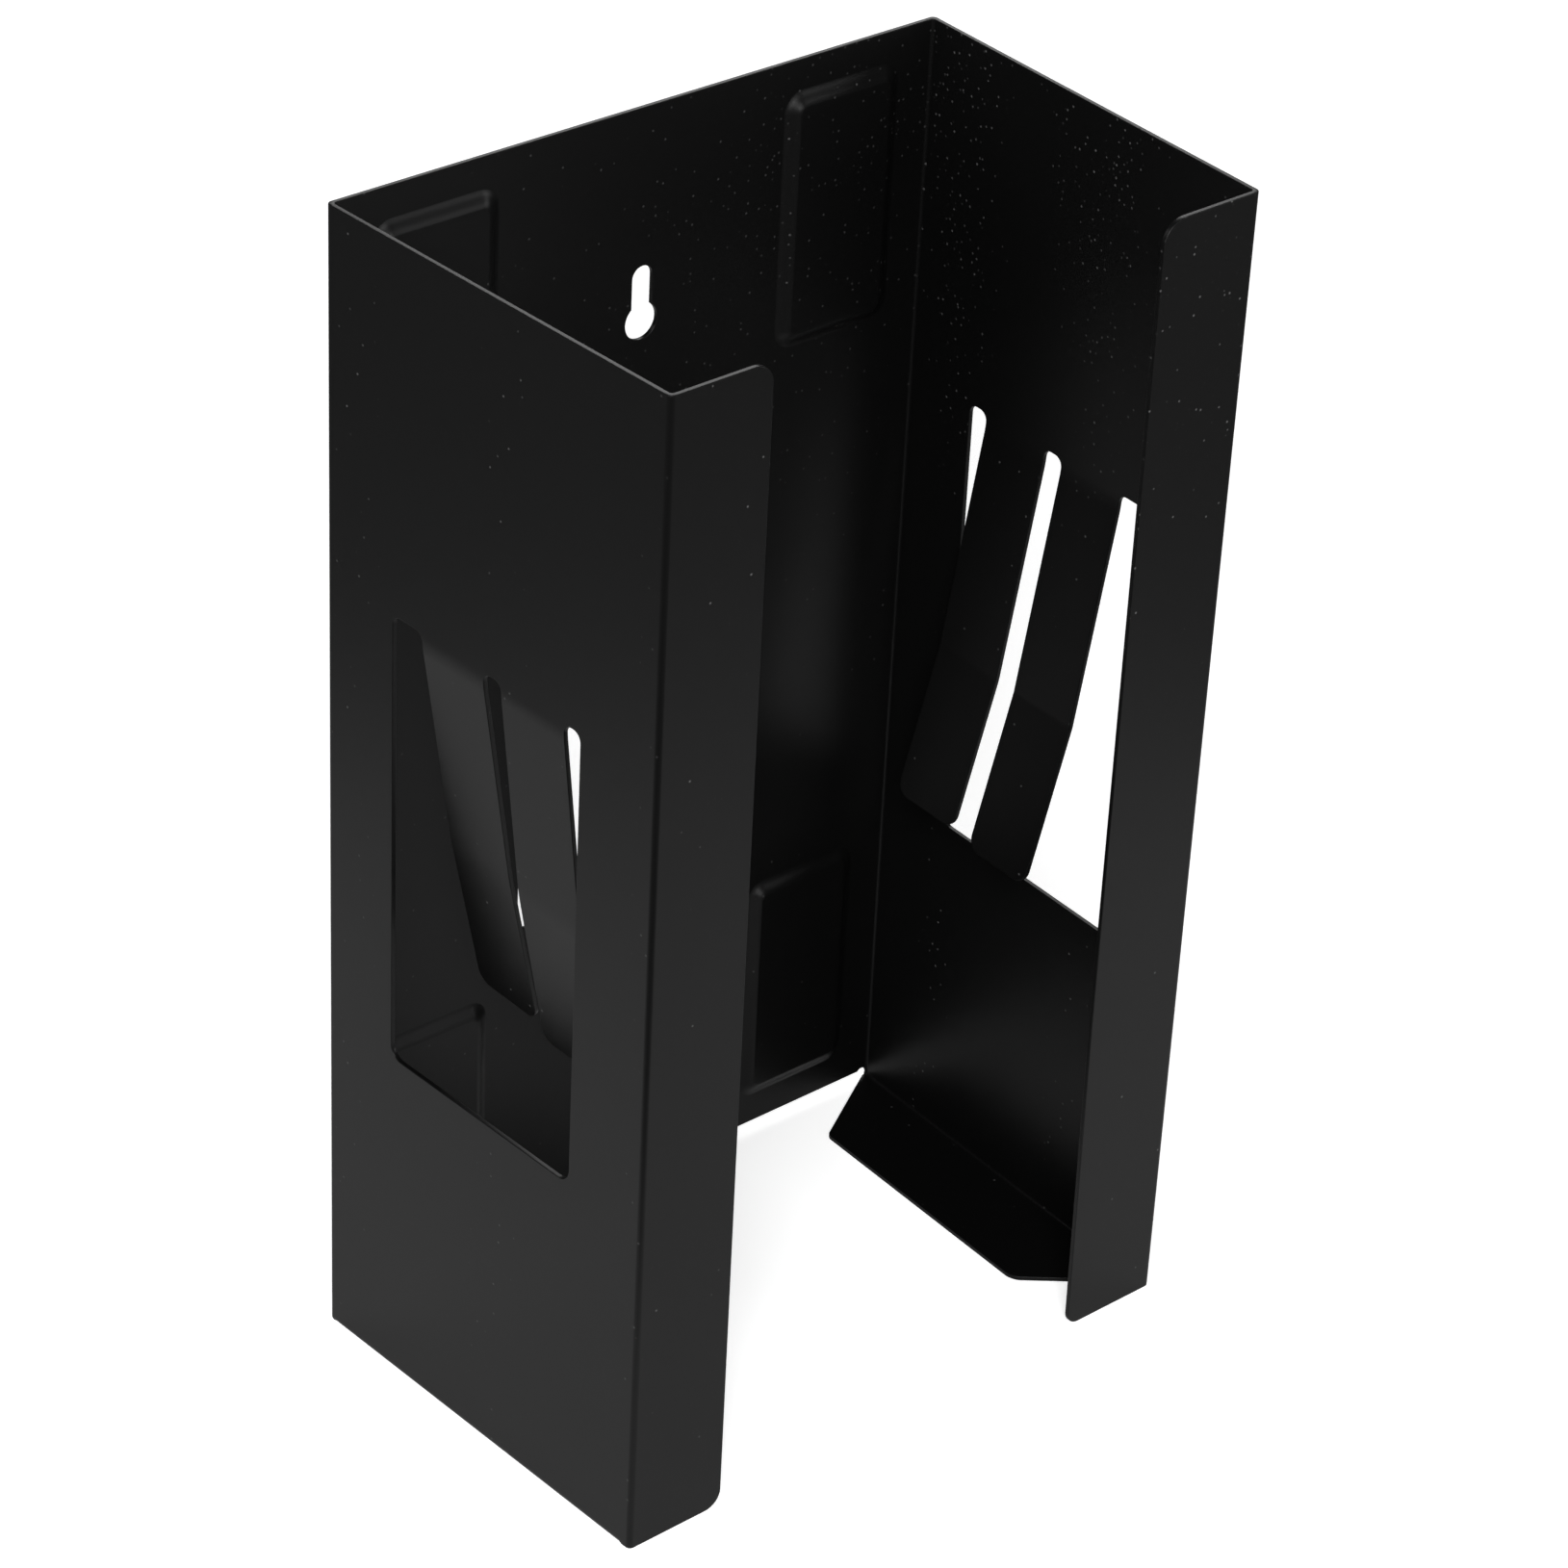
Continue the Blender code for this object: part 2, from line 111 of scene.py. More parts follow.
def outlineFace(work, corners, segments):  # one face with rounded corners, each given as x, y, radius
    verts = [work.verts.new((x, y, 0.0)) for x, y, radius in corners]
    work.faces.new(verts)
    cuts = {}
    for number, (vert, corner) in enumerate(zip(verts, corners)):
        if corner[2] > 0:
            before = (verts[number - 1].co - vert.co).normalized()
            after = (verts[(number + 1) % len(verts)].co - vert.co).normalized()
            cuts.setdefault(round(corner[2] / math.tan(before.angle(after) / 2), 4), []).append(vert)
    for cut, chosen in cuts.items():
        bmesh.ops.bevel(
            work, geom=chosen, offset=cut, offset_type="OFFSET", affect="VERTICES", segments=segments,
            profile=0.5, material=-1, clamp_overlap=False,
        )


def boxCorners(x, y, width, height, radius):  # the corners of a rectangle around its middle
    return [
        (x + across * width / 2, y + up * height / 2, radius)
        for across, up in ((1, -1), (1, 1), (-1, 1), (-1, -1))
    ]


def plate(corners, bottom, top, segments):  # a flat plate with that outline, from one depth to another
    work = bmesh.new()
    outlineFace(work, corners, segments)
    bmesh.ops.translate(work, verts=work.verts, vec=(0, 0, bottom))
    raised = bmesh.ops.extrude_face_region(work, geom=list(work.faces))
    verts = [item for item in raised["geom"] if isinstance(item, bmesh.types.BMVert)]
    bmesh.ops.translate(work, verts=verts, vec=(0, 0, top - bottom))
    bmesh.ops.recalc_face_normals(work, faces=work.faces)
    return work


def cylinder(x, y, radius, bottom, top, segments):
    work = bmesh.new()
    bmesh.ops.create_cone(
        work, cap_ends=True, segments=segments, radius1=radius, radius2=radius, depth=top - bottom,
        matrix=Matrix.Translation((x, y, (bottom + top) / 2)),
    )
    return work


def joined(works):  # several meshes that don't touch, as one
    whole = bmesh.new()
    for work in works:
        mesh = bpy.data.meshes.new("part")
        work.to_mesh(mesh)
        work.free()
        whole.from_mesh(mesh)
        bpy.data.meshes.remove(mesh)
    return whole


def combine(work, tool, operation):
    pair = []
    for part in (work, tool):
        mesh = bpy.data.meshes.new("part")
        part.to_mesh(mesh)
        part.free()
        pair.append(bpy.data.objects.new("part", mesh))
        bpy.context.scene.collection.objects.link(pair[-1])
    step = pair[0].modifiers.new("combine", "BOOLEAN")
    step.operation = operation
    step.solver = "EXACT"
    step.object = pair[1]
    bpy.context.view_layer.update()
    evaluated = pair[0].evaluated_get(bpy.context.evaluated_depsgraph_get())
    result = bmesh.new()
    result.from_mesh(evaluated.to_mesh())
    evaluated.to_mesh_clear()
    for part in pair:
        mesh = part.data
        bpy.data.objects.remove(part)
        bpy.data.meshes.remove(mesh)
    return result


def softenRims(work, width, segments):  # rounds the edges between the flat faces and the cut walls
    rims = []
    for edge in work.edges:
        levels = sorted(abs(face.normal.z) for face in edge.link_faces)
        if len(levels) == 2 and levels[0] < 0.1 and levels[1] > 0.9:
            rims.append(edge)
    bmesh.ops.bevel(
        work, geom=rims, offset=width, offset_type="OFFSET", affect="EDGES", segments=segments,
        profile=0.5, material=-1, clamp_overlap=False,
    )


def addMesh(name, work, finish, smooth):  # an object from a working mesh, which is freed
    mesh = bpy.data.meshes.new(name)
    work.to_mesh(mesh)
    work.free()
    if smooth:
        mesh.shade_smooth()
    mesh.materials.append(finish)
    item = bpy.data.objects.new(name, mesh)
    bpy.context.scene.collection.objects.link(item)
    return item


def finishPiece(name, work, finish, nodes):  # work is in millimetres, in the row frame
    bmesh.ops.scale(work, vec=(mm, mm, mm), verts=work.verts)
    piece = addMesh(name, work, finish, True)
    piece.data.set_sharp_from_angle(angle=math.radians(sharpAngle))
    normals = piece.modifiers.new("evenNormals", "WEIGHTED_NORMAL")
    normals.mode = "FACE_AREA"
    normals.weight = 100
    normals.keep_sharp = True
    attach(piece, "root")
    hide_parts(*nodes)
    print(name, "faces", len(piece.data.polygons))


# Materials

coat = {
    "colour": "#0a0a0a",
    "specular": 0.17,
    "roughness": 0.36,
    "peelSize": 1.4,  # mm, the waves of the orange peel
    "peelHeight": 0.004,  # mm
    "dust": "#555555",
    "dustRoughness": 0.3,  # what a speck adds to the coat's
    "speckSpacing": 1.5,  # mm
    "speckSize": 0.32,  # mm, with the faded rim
    "speckCore": 0.3,  # the share of that size that isn't faded
    "dustHeights": (0.14, 0.25),  # m, where the dust starts and where it's thickest
    "dustAcross": (-0.03, 0.06),  # m, the same from left to right
    "dustShares": (0.04, 0.6),  # of the cells, everywhere and added where it's thickest
}


def powderCoat():
    # Polyester powder, sprayed and baked on steel: a satin black film with a faint orange peel and dust
    settings = {"IOR": 1.5, "Specular IOR Level": coat["specular"]}
    finish, shader, place = newCoating("satinBlackPowderCoat", settings)
    tree = finish.node_tree
    addBump(tree, shader, addNoise(tree, place, coat["peelSize"], 2.0), coat["peelHeight"])
    # One possible speck to a cell: a small round dot, if the cell's own number is under the local share
    settings = {"Scale": 1 / (coat["speckSpacing"] * mm), "Randomness": 1.0}
    cells = addNode(tree, "ShaderNodeTexVoronoi", settings, {"Vector": place})
    rim = coat["speckSize"] / coat["speckSpacing"]
    dot = mapped(tree, cells.outputs["Distance"], rim, coat["speckCore"] * rim)
    number = addNode(tree, "ShaderNodeSeparateColor", links={"Color": cells.outputs["Color"]})
    axes = addNode(tree, "ShaderNodeSeparateXYZ", links={"Vector": place})
    high = mapped(tree, axes.outputs["Z"], *coat["dustHeights"])
    across = mapped(tree, axes.outputs["X"], *coat["dustAcross"])
    everywhere, thickest = coat["dustShares"]
    share = mathOf(tree, "MULTIPLY_ADD", mathOf(tree, "MULTIPLY", high, across), thickest, everywhere)
    there = mathOf(tree, "LESS_THAN", number.outputs["Red"], share)
    faint = mathOf(tree, "MULTIPLY", there, number.outputs["Green"])
    speck = mathOf(tree, "MULTIPLY", dot, faint)
    tree.links.new(mixColours(tree, speck, coat["colour"], coat["dust"]), shader.inputs["Base Color"])
    rough = mathOf(tree, "MULTIPLY_ADD", speck, coat["dustRoughness"], coat["roughness"])
    tree.links.new(rough, shader.inputs["Roughness"])
    return finish


magnetFinish = {
    "dark": "#1f1e1d",
    "light": "#3a3836",
    "roughness": 0.62,
    "grainSize": 0.5,  # mm
    "grainHeight": 0.03,  # mm
}


def bondedMagnet():
    # Ferrite powder in rubber, rolled and die cut: matte dark grey-brown with a fine even grain
    settings = {"IOR": 1.5, "Roughness": magnetFinish["roughness"]}
    finish, shader, place = newCoating("rubberBondedFerrite", settings)
    tree = finish.node_tree
    grain = addNoise(tree, place, magnetFinish["grainSize"], 3.0)
    addBump(tree, shader, grain, magnetFinish["grainHeight"])
    colour = mixColours(tree, grain, magnetFinish["dark"], magnetFinish["light"])
    tree.links.new(colour, shader.inputs["Base Color"])
    return finish


coatFinish = powderCoat()
ferriteFinish = bondedMagnet()
print("Materials made")


# The holder's folded sheet

sheet = {  # mm and degrees, measured on the folded holder
    "height": 250.0,
    "backWidth": 144.5,
    "sideLength": 93.0,
    "flangeWidths": (22.65, 23.9),  # left and right
    "flangeTapers": (0.0, 0.8),  # how much narrower the flanges are at the foot
    "taperTop": 75.0,
    "footCorners": (3.8, 3.0),
    "topCorners": (4.2, 5.0),
    "lipWidth": 21.9,
    "thickness": 1.0,
    "bendInside": 0.1,  # the upright bends, as their outer faces show it
    "innerFillet": 0.7,  # their hollow side, where the coat gathers
    "lipInside": 0.8,
    "toeIn": 2.0,
    "backEdge": 2.5,  # heights of the lower edges above the lips' underside
    "flangeEdge": 0.75,
    "reliefRadius": 1.45,
    "reliefInset": 1.3,
    "reliefRise": 0.55,
    "reliefCorner": (0.3, 1.55),  # where relief and lip meet: how far before the bend, and how high
    "lipRear": (0.8, 13.9),  # where the lip's slanted ends start and stop along the side
    "lipFront": (74.8, 89.6),
    "lipDrop": 0.75,
    "lipCorners": (1.8, 4.0),
    "lipBlend": 1.0,
    "windowRear": 19.5,
    "windowBottom": 76.0,
    "windowTop": 174.4,
    "windowCorner": 3.0,
    "slotCorner": 2.0,
    "windowMarks": (  # left and right window, both from the left: gap, tongue, slot, tongue, gap
        (0.6, 5.0, 22.5, 27.5, 45.0, 53.5),
        (0.0, 5.0, 22.5, 27.68, 44.7, 53.5),
    ),
    "tongueCorner": 3.0,
    "rim": 0.16,  # rounding of the cut edges under the coat
    "rimSteps": 3,
    "bendSteps": 24,
    "cornerSteps": 8,
    "reliefSteps": 28,
}
tongue = {  # bent one by one, in the order left front, left rear, right rear, right front
    "root": 2.42,  # from the window's top to the middle of the upper bend
    "rootRadius": 26.0,
    "rootSteps": 8,
    "lengths": (83.6, 83.6, 84.3, 85.9),
    "rootAngles": (6.4, 8.8, 9.55, 9.3),
    "runs": (44.7, 45.9, 48.6, 48.6),  # from the middle of the upper bend to the middle of the kink
    "kinkAngles": (4.7, 3.4, 6.1, 5.9),
    "kinkRadii": (60.0, 60.0, 12.0, 12.0),
    "kinkSteps": 6,
    "twists": (0.0, 2.0, 0.0, 0.0),  # at the free end, the rear edge goes further in than the front edge
    "margin": 2.0,  # beside a tongue, what still counts as the tongue
    "scoreMargin": 2.5,  # beside a tongue, how far the line at its root is scored
}
backWindow = {"width": 53.0, "bottom": 77.0, "top": 173.0, "corner": 3.0}
keyhole = {
    "middle": 0.47,
    "height": 205.5,
    "diameter": 7.7,
    "slotWidth": 4.85,
    "slotTop": 217.15,
    "steps": 40,
}
pocket = {
    "width": 29.0,
    "height": 55.0,
    "sideMargin": 9.25,
    "topMargin": 6.3,
    "bottom": 9.5,
    "corner": 4.5,
    "cornerSteps": 10,
    "depth": 1.5,
    "slope": 3.4,
    "rounding": 0.35,  # 0 is a straight ramp, 1 has fully round ends
    "steps": 12,
}

thick = sheet["thickness"]
backBend = math.radians(90 + sheet["toeIn"])
frontBend = math.radians(90 - sheet["toeIn"])
wallPlane = sheet["sideLength"] * math.cos(math.radians(sheet["toeIn"])) / 2


def planLayout(inside):  # the path round half the holder, and its places along the flat blank
    neutral = inside + thick / 2
    backSetback = (inside + thick) * math.tan(backBend / 2)
    frontSetback = (inside + thick) * math.tan(frontBend / 2)
    sideRun = sheet["sideLength"] - backSetback - frontSetback
    backStop = sheet["backWidth"] / 2 - backSetback
    sideBegin = backStop + neutral * backBend
    sideStop = sideBegin + sideRun
    flangeBegin = sideStop + neutral * frontBend
    path = [(0, backStop), (neutral, backBend), (0, sideRun), (neutral, frontBend), (0, farOut)]
    bends = (backStop, sideBegin, sideStop, flangeBegin)
    zeros = (sideBegin - backSetback, flangeBegin - frontSetback)  # where side and flange count from
    return path, bends, zeros


planPath, (backEnd, sideStart, sideEnd, _), (sideZero, flangeZero) = planLayout(sheet["bendInside"])
blankEnds = [flangeZero + width for width in sheet["flangeWidths"]]

# Where the wider bends of the hollow side start and end, along the blank and along their own path
hollowPath, hollowBends, hollowZeros = planLayout(sheet["innerFillet"])
hollowShifts = (0.0, sideZero - hollowZeros[0], sideZero - hollowZeros[0], flangeZero - hollowZeros[1])
hollowKnots = [(place + shift, place) for place, shift in zip(hollowBends, hollowShifts)]

lipNeutral = sheet["lipInside"] + thick / 2
lipBendStart = sheet["lipInside"] + thick
lipBendEnd = lipBendStart - lipNeutral * math.pi / 2
lipEdge = lipBendEnd - (sheet["lipWidth"] - lipBendStart)
lipStop = sideZero + sheet["lipFront"][1]
lipPath = [(lipNeutral, math.pi / 2), (0, farOut)]

# Both windows are punched from left to right, so the pattern is shifted and not mirrored
windowStart = sideZero + sheet["windowRear"]
windowStarts = (-windowStart - sheet["windowMarks"][0][-1], windowStart)
windowLines = [
    [start + mark for mark in marks] for start, marks in zip(windowStarts, sheet["windowMarks"])
]
tongueSpans = [(lines[first], lines[first + 1]) for lines in windowLines for first in (1, 3)]


def tonguePath(number):  # straight runs and bends from the window's top down
    rootAngle = math.radians(tongue["rootAngles"][number])
    kinkAngle = math.radians(tongue["kinkAngles"][number])
    rootHalf = tongue["rootRadius"] * math.tan(rootAngle / 2)
    kinkHalf = tongue["kinkRadii"][number] * math.tan(kinkAngle / 2)
    return [
        (0, tongue["root"] - rootHalf), (tongue["rootRadius"], rootAngle),
        (0, tongue["runs"][number] - rootHalf - kinkHalf), (tongue["kinkRadii"][number], kinkAngle),
        (0, farOut),
    ]


def follow(path, distance, depth):  # where a point of the strip lands once the path's bends are made
    place, heading, left = Vector((0, 0)), 0.0, distance
    for radius, amount in path:
        if radius:
            turned = min(left / radius, amount)
            outer = radius + thick / 2
            centre = place + Vector((-math.sin(heading), math.cos(heading))) * outer
            heading += turned
            place = centre - Vector((-math.sin(heading), math.cos(heading))) * outer
            left -= turned * radius
        else:
            run = min(left, amount)
            place += Vector((math.cos(heading), math.sin(heading))) * run
            left -= run
    return place + Vector((-math.sin(heading), math.cos(heading))) * depth


def planPoint(distance, depth):  # the outer face follows the tight bends, the hollow one the wider ones
    outer = follow(planPath, distance, 0.0)
    lastPlace, lastOwn = hollowKnots[-1]
    knots = [(0.0, 0.0)] + hollowKnots + [(lastPlace + farOut, lastOwn + farOut)]
    for (start, ownStart), (end, ownEnd) in zip(knots, knots[1:]):
        if distance <= end:
            own = ownStart + (ownEnd - ownStart) * (distance - start) / (end - start)
            return outer.lerp(follow(hollowPath, own, thick), depth / thick)


def onSide(distance, depth):  # the side panel's own plane, also inward of the panel
    return follow(planPath, sideStart, 0.0) + (
        Vector((math.cos(backBend), math.sin(backBend))) * (distance - sideStart)
        + Vector((-math.sin(backBend), math.cos(backBend))) * depth
    )


def tongueNumber(x, y):  # the tongue that a place on the blank belongs to, or None
    for number, (begin, end) in enumerate(tongueSpans):
        low = (sheet["windowBottom"] + sheet["windowTop"] - tongue["lengths"][number]) / 2
        high = sheet["windowTop"] - tonguePath(number)[0][1]
        if begin - tongue["margin"] < x < end + tongue["margin"] and low < y < high + tiny:
            return number
    return None


def folded(x, y, depth):  # where a point of the flat blank lands on the folded holder
    side = -1.0 if x < 0 else 1.0
    reach = abs(x)
    number = tongueNumber(x, y)
    if number is not None:
        drop, inward = follow(tonguePath(number), sheet["windowTop"] - y, depth)
        share = (sheet["windowTop"] - y) / tongue["lengths"][number]
        front = max(abs(place) for place in tongueSpans[number])
        inward += (front - reach) * share * math.tan(math.radians(tongue["twists"][number]))
        plan = onSide(reach, inward)
        return Vector((side * plan.x, wallPlane - plan.y, sheet["windowTop"] - drop))
    plan = planPoint(reach, depth)
    if y < lipBendStart - tiny and backEnd < reach < lipStop + sheet["lipBlend"] - tiny:
        drop, inward = follow(lipPath, lipBendStart - y, depth)
        share = min(1.0, max(0.0, (lipStop + sheet["lipBlend"] - reach) / sheet["lipBlend"]))
        if reach < sideStart:
            share = min(1.0, (lipBendStart - y) / (lipBendStart - lipBendEnd))
        plan = plan.lerp(onSide(reach, inward), share)
        y += (lipBendStart - drop - y) * share
    return Vector((side * plan.x, wallPlane - max(plan.y, 0.0), max(y, 0.0)))


def blankPlate():
    cornerInset, cornerHeight = sheet["reliefCorner"]
    half = [
        (backEnd - sheet["reliefInset"], sheet["backEdge"], 0),
        (backEnd - cornerInset, cornerHeight, 0),
        (sideZero + sheet["lipRear"][0], lipBendEnd, 0),
        (sideZero + sheet["lipRear"][1], lipEdge, sheet["lipCorners"][0]),
        (sideZero + sheet["lipFront"][0], lipEdge, sheet["lipCorners"][1]),
        (lipStop, lipBendEnd - sheet["lipDrop"], 0),
        (lipStop, sheet["flangeEdge"], 0),
    ]
    left, right = [
        half + [
            (end - sheet["flangeTapers"][side], sheet["flangeEdge"], sheet["footCorners"][side]),
            (end, sheet["taperTop"], 0),
            (end, sheet["height"], sheet["topCorners"][side]),
        ] for side, end in enumerate(blankEnds)
    ]
    corners = right + [(-x, y, radius) for x, y, radius in reversed(left)]
    return plate(corners, 0, thick, sheet["cornerSteps"])


def windowPlate(marks, lengths):
    low, high = sheet["windowBottom"], sheet["windowTop"]
    slotCorner, tongueCorner = sheet["slotCorner"], sheet["tongueCorner"]
    corners = [(marks[0], low, sheet["windowCorner"]), (marks[0], high, slotCorner)]
    for first, length in zip((1, 3), lengths):
        corners += [
            (marks[first], high, slotCorner),
            (marks[first], high - length, tongueCorner),
            (marks[first + 1], high - length, tongueCorner),
            (marks[first + 1], high, slotCorner),
        ]
    corners += [(marks[5], high, slotCorner), (marks[5], low, sheet["windowCorner"])]
    return plate(corners, -1, thick + 1, sheet["cornerSteps"])


def cutters():
    half, low, top = keyhole["slotWidth"] / 2, keyhole["height"], keyhole["slotTop"]
    left, right = keyhole["middle"] - half, keyhole["middle"] + half
    radius = half - 0.01  # a little under half the width, so that the corners don't meet
    slot = [(left, low, 0), (right, low, 0), (right, top, radius), (left, top, radius)]
    reach, corner = backWindow["width"] / 2, backWindow["corner"]
    opening = [
        (-reach, backWindow["bottom"], corner), (reach, backWindow["bottom"], corner),
        (reach, backWindow["top"], corner), (-reach, backWindow["top"], corner),
    ]
    lengths = (tongue["lengths"][:2], tongue["lengths"][2:])
    tools = [windowPlate(lines, pair) for lines, pair in zip(windowLines, lengths)]
    tools.append(plate(opening, -1, thick + 1, sheet["cornerSteps"]))
    tools.append(plate(slot, -1, thick + 1, sheet["cornerSteps"]))
    for side in (-1, 1):
        x = side * (backEnd - sheet["reliefInset"])
        y = sheet["backEdge"] + sheet["reliefRise"] - sheet["reliefRadius"]
        tools.append(cylinder(x, y, sheet["reliefRadius"], -1, thick + 1, sheet["reliefSteps"]))
    return joined(tools)


def pressForm(x, y, base):  # the press tool's raised form: a plate that rises over a soft slope
    corners = boxCorners(x, y, pocket["width"], pocket["height"], pocket["corner"])
    form = plate(corners, base - thick / 2, base, pocket["cornerSteps"])
    top = [face for face in form.faces if face.normal.z > 0.5]
    height = 0.0
    for step in range(1, pocket["steps"] + 1):
        ramp = step / pocket["steps"]
        wave = math.sin(2 * math.pi * ramp) / (2 * math.pi)
        rise = pocket["depth"] * (ramp - pocket["rounding"] * wave)
        bmesh.ops.inset_region(
            form, faces=top, thickness=pocket["slope"] / pocket["steps"], depth=0, use_even_offset=True
        )
        verts = {vert for face in top for vert in face.verts}
        bmesh.ops.translate(form, verts=list(verts), vec=(0, 0, rise - height))
        height = rise
    bmesh.ops.recalc_face_normals(form, faces=form.faces)
    return form


def pocketMiddles():
    upper = sheet["height"] - pocket["topMargin"] - pocket["height"] / 2
    lower = pocket["bottom"] + pocket["height"] / 2
    reach = sheet["backWidth"] / 2 - pocket["sideMargin"] - pocket["width"] / 2
    return {
        "UpperLeft": (-reach, upper), "UpperRight": (reach, upper),
        "LowerLeft": (-reach, lower), "LowerRight": (reach, lower),
    }


def score(work, place, normal, chosen=None):  # cuts faces along a line where the sheet will turn
    faces = [face for face in work.faces if chosen is None or chosen(face.calc_center_median())]
    edges = {edge for face in faces for edge in face.edges}
    verts = {vert for face in faces for vert in face.verts}
    bmesh.ops.bisect_plane(
        work, geom=faces + list(edges) + list(verts), dist=tiny, plane_co=place, plane_no=normal
    )


def onPanel(centre):
    return backEnd < abs(centre.x) < sideEnd


def onLip(centre):
    return onPanel(centre) and centre.y < lipBendStart


def scoreBends(work):
    steps = sheet["bendSteps"]
    for (begin, _), (end, _) in (hollowKnots[:2], hollowKnots[2:]):
        for step in range(steps + 1):
            for side in (1, -1):
                score(work, (side * (begin + (end - begin) * step / steps), 0, 0), (1, 0, 0))
    score(work, (0, lipBendStart, 0), (0, 1, 0), onPanel)
    for side in (1, -1):
        for place in (lipStop, lipStop + sheet["lipBlend"]):
            score(work, (side * place, 0, 0), (1, 0, 0), onLip)
    for step in range(1, steps + 1):
        level = lipBendStart + (lipBendEnd - lipBendStart) * step / steps
        score(work, (0, level, 0), (0, 1, 0), onLip)
    rootSteps, kinkSteps, margin = tongue["rootSteps"], tongue["kinkSteps"], tongue["scoreMargin"]
    for number, (begin, end) in enumerate(tongueSpans):
        drop, root, run, kink, _ = tonguePath(number)
        high = sheet["windowTop"] - drop[1]
        score(
            work, (0, high, 0), (0, 1, 0),
            lambda centre: begin - margin < centre.x < end + margin,
        )
        low = high - root[0] * root[1] - run[1]
        levels = [high - root[0] * root[1] * step / rootSteps for step in range(1, rootSteps + 1)]
        levels += [low - kink[0] * kink[1] * step / kinkSteps for step in range(kinkSteps + 1)]
        for level in levels:
            score(
                work, (0, level, 0), (0, 1, 0),
                lambda centre: tongueNumber(centre.x, centre.y) == number,
            )


def foldedSheet():
    work = combine(blankPlate(), cutters(), "DIFFERENCE")
    hole = cylinder(
        keyhole["middle"], keyhole["height"], keyhole["diameter"] / 2, -1, thick + 1, keyhole["steps"]
    )
    work = combine(work, hole, "DIFFERENCE")
    softenRims(work, sheet["rim"], sheet["rimSteps"])
    middles = pocketMiddles().values()
    work = combine(work, joined([pressForm(x, y, thick) for x, y in middles]), "UNION")
    work = combine(work, joined([pressForm(x, y, 0.0) for x, y in middles]), "DIFFERENCE")
    scoreBends(work)
    bmesh.ops.triangulate(work, faces=work.faces, quad_method="BEAUTY", ngon_method="BEAUTY")
    for vert in work.verts:
        vert.co = folded(*vert.co)
    bmesh.ops.dissolve_degenerate(work, edges=work.edges, dist=tiny)
    bmesh.ops.recalc_face_normals(work, faces=work.faces)
    return work


finishPiece("holderSheet", foldedSheet(), coatFinish, ["holder_body"])


# The magnets in the pressed pockets

magnet = {  # mm
    "width": 21.4,
    "height": 47.4,
    "thickness": 1.2,
    "corner": 0.6,
    "cornerSteps": 5,
    "edge": 0.2,
    "edgeSteps": 3,
}


def magnetBlock(x, y):
    corners = boxCorners(x, y, magnet["width"], magnet["height"], magnet["corner"])
    work = plate(corners, 0, magnet["thickness"], magnet["cornerSteps"])
    softenRims(work, magnet["edge"], magnet["edgeSteps"])
    bmesh.ops.rotate(work, verts=work.verts, cent=(0, 0, 0), matrix=Matrix.Rotation(math.pi / 2, 3, "X"))
    bmesh.ops.translate(work, verts=work.verts, vec=(0, wallPlane, 0))
    return work


for spot, (x, y) in pocketMiddles().items():
    nodeName = "magnet_" + spot.replace("Left", "_left").replace("Right", "_right").lower()
    finishPiece("magnet" + spot, magnetBlock(x, y), ferriteFinish, [nodeName])


# The camera

camera = {  # solved from the holder's straight edges
    "place": (-554.1934, -621.9417, 645.2696),  # mm
    "right": (0.76262089, -0.64534701, 0.04400694),
    "down": (-0.31392188, -0.42873559, -0.84713567),
    "forward": (0.56556382, 0.63222862, -0.52955126),
    "lens": 117.27,
    "sensor": 36,
}


def addCamera():
    data = bpy.data.cameras.new("camera")
    data.sensor_width = camera["sensor"]
    data.lens = camera["lens"]
    data.clip_start = 0.01
    eye = bpy.data.objects.new("camera", data)
    bpy.context.scene.collection.objects.link(eye)
    columns = [Vector(camera["right"]), -Vector(camera["down"]), -Vector(camera["forward"])]
    turn = Matrix(columns).transposed()
    eye.matrix_world = Matrix.Translation(Vector(camera["place"]) * mm) @ turn.to_4x4()
    bpy.context.scene.camera = eye


addCamera()
print("Camera placed")


# The floor, the lamps and the air around

studio = {  # metres and degrees
    "heading": 48.2,  # the way the camera looks in plan
    "paper": "#e6e6e6",
    "paperWidth": 0.605,
    "paperFront": -0.18,  # where paper and table start, on the camera's side
    "paperBend": 1.5,
    "paperRadius": 0.4,
    "paperRise": 80,
    "paperSteps": 24,
    "paperLift": (0.6, 0.065),  # what the paper adds for seen rays and for mirrored ones
    # painted shade: the table's mid grey stands for the light falling off beyond the paper, so mirrored
    # rays see it dark, while seen rays get it lifted to white
    "table": "#7c7c7c",
    "tableLift": (0.95, 0.03),
    "tableReach": 4.0,
    "tableLevel": -0.002,
    "airStrength": (0.028, 0.97, 0.01),  # for all rays, what's added for seen rays and for mirrored ones
    "lampDistance": 1.6,
    "lampSize": 0.55,
    "lampAim": 0.1,  # the height that the lamps point at
}
lamps = [  # name, degrees round from behind the holder and up from the floor, power (W)
    ("frontLamp", 180, 35, 23.8),
    ("rightLamp", 135, 12, 9.0),
    ("rightRearLamp", 90, 12, 5.6),
    ("leftLamp", 225, 12, 8.6),
    ("leftHighLamp", 270, 35, 2.5),
    ("backLamp", 0, 35, 5.0),
]
studioTurn = Matrix.Rotation(math.radians(studio["heading"]), 4, "Z")


